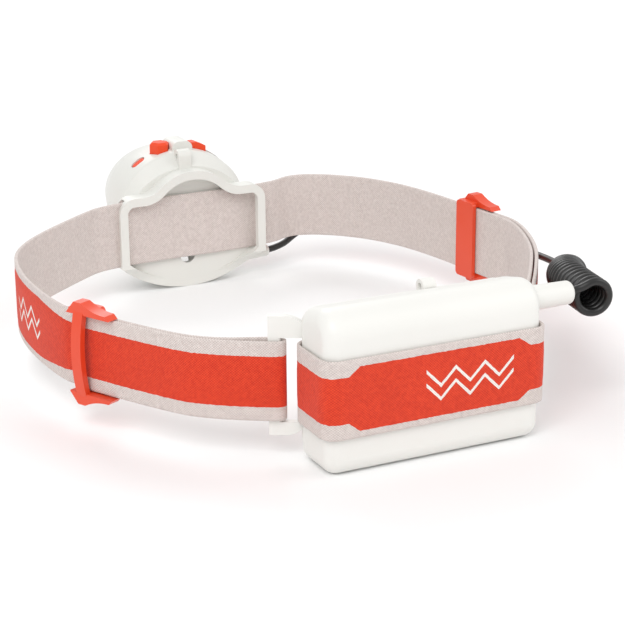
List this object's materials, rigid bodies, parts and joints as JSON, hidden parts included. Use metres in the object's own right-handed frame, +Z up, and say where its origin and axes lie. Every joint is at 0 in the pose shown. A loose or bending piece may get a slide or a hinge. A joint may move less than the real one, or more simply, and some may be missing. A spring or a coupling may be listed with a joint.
{
  "type": "headlamp",
  "caption": "Headlamp on a loop of elastic strap, with a tilting oval lamp in front and a battery pack behind, joined by a black curly lead.",
  "frame": {"origin": "centre of the bottom of the object's box, on the surface that it stands on", "axes": "+Y the way the beam points, +X to the wearer's right, +Z up"},
  "size_m": [0.1904, 0.232, 0.0558],
  "materials": {
    "case_plastic": "off-white ABS, fine moulded grain",
    "mount_plastic": "off-white ABS, satin",
    "strap_elastic": "knitted elastic, orange with pale grey edges",
    "buckle_plastic": "orange acetal",
    "control_plastic": "orange, soft satin",
    "cord_jacket": "black polyurethane jacket",
    "seal_rubber": "black silicone",
    "window_clear": "clear polycarbonate",
    "mirror_coat": "vacuum-metallised cup",
    "optic_clear": "clear acrylic bead",
    "sink_aluminium": "extruded, mill finish",
    "board_laminate": "green solder mask",
    "chip_white": "phosphor on white ceramic",
    "switch_black": "black nylon",
    "spring_steel": "nickel-plated",
    "pin_steel": "stainless, ground",
    "washer_nylon": "natural nylon",
    "cell_jacket": "plain shrink sleeve"
  },
  "bodies": {
    "root": {"pack_base": "case_plastic", "cover_seal": "seal_rubber", "cell_1": "cell_jacket", "cell_2": "cell_jacket", "cell_3": "cell_jacket", "contact_plates": "spring_steel", "contact_springs": "spring_steel", "pack_boot": "case_plastic", "headband": "strap_elastic", "pack_band": "strap_elastic", "mounting_plate": "mount_plastic", "tilt_pins": "pin_steel", "friction_washers": "washer_nylon", "lamp_gland": "mount_plastic", "cord_lead": "cord_jacket", "cord_coil": "cord_jacket", "cord_run": "cord_jacket"},
    "cover": {"pack_cover": "case_plastic"},
    "lamp": {"lamp_housing": "mount_plastic", "bezel": "mount_plastic", "lens_gasket": "seal_rubber", "front_lens": "window_clear", "led_board": "board_laminate", "heat_sink": "sink_aluminium", "leds": "chip_white", "reflector": "mirror_coat", "flood_optic": "optic_clear", "control_board": "board_laminate", "switches": "switch_black", "housing_screws": "pin_steel"},
    "power_button": {"power_button": "control_plastic"},
    "boost_button": {"boost_button": "control_plastic"},
    "beam_lever": {"beam_lever": "control_plastic"},
    "buckle_left": {"buckle_left": "buckle_plastic"},
    "buckle_right": {"buckle_right": "buckle_plastic"}
  },
  "joints": [
    {"name": "lamp_tilt", "type": "hinge", "parent": "root", "child": "lamp", "pos_m": [0, 0.0885, 0.008], "axis": [-1, 0, 0], "range_deg": [0, 55]},
    {"name": "power_press", "type": "slide", "parent": "lamp", "child": "power_button", "axis": [0, 0, -1], "range_m": [0, 0.0012], "stiffness_N_per_m": 800, "springref_m": -0.0006},
    {"name": "boost_press", "type": "slide", "parent": "lamp", "child": "boost_button", "axis": [0.5527, 0, -0.8334], "range_m": [0, 0.001], "stiffness_N_per_m": 600, "springref_m": -0.0006},
    {"name": "beam_lever_slide", "type": "slide", "parent": "lamp", "child": "beam_lever", "axis": [1, 0, 0], "range_m": [0, 0.005]},
    {"name": "cover_pull", "type": "slide", "parent": "root", "child": "cover", "axis": [0, -1, 0], "range_m": [0, 0.018], "stiffness_N_per_m": 150, "springref_m": -0.01, "deforming": ["pack_band"]},
    {"name": "buckle_left_slide", "type": "slide", "parent": "root", "child": "buckle_left", "axis": [0.4516, -0.8922, 0], "range_m": [0, 0.008]},
    {"name": "buckle_right_slide", "type": "slide", "parent": "root", "child": "buckle_right", "axis": [0.1178, -0.993, 0], "range_m": [0, 0.01]}
  ]
}
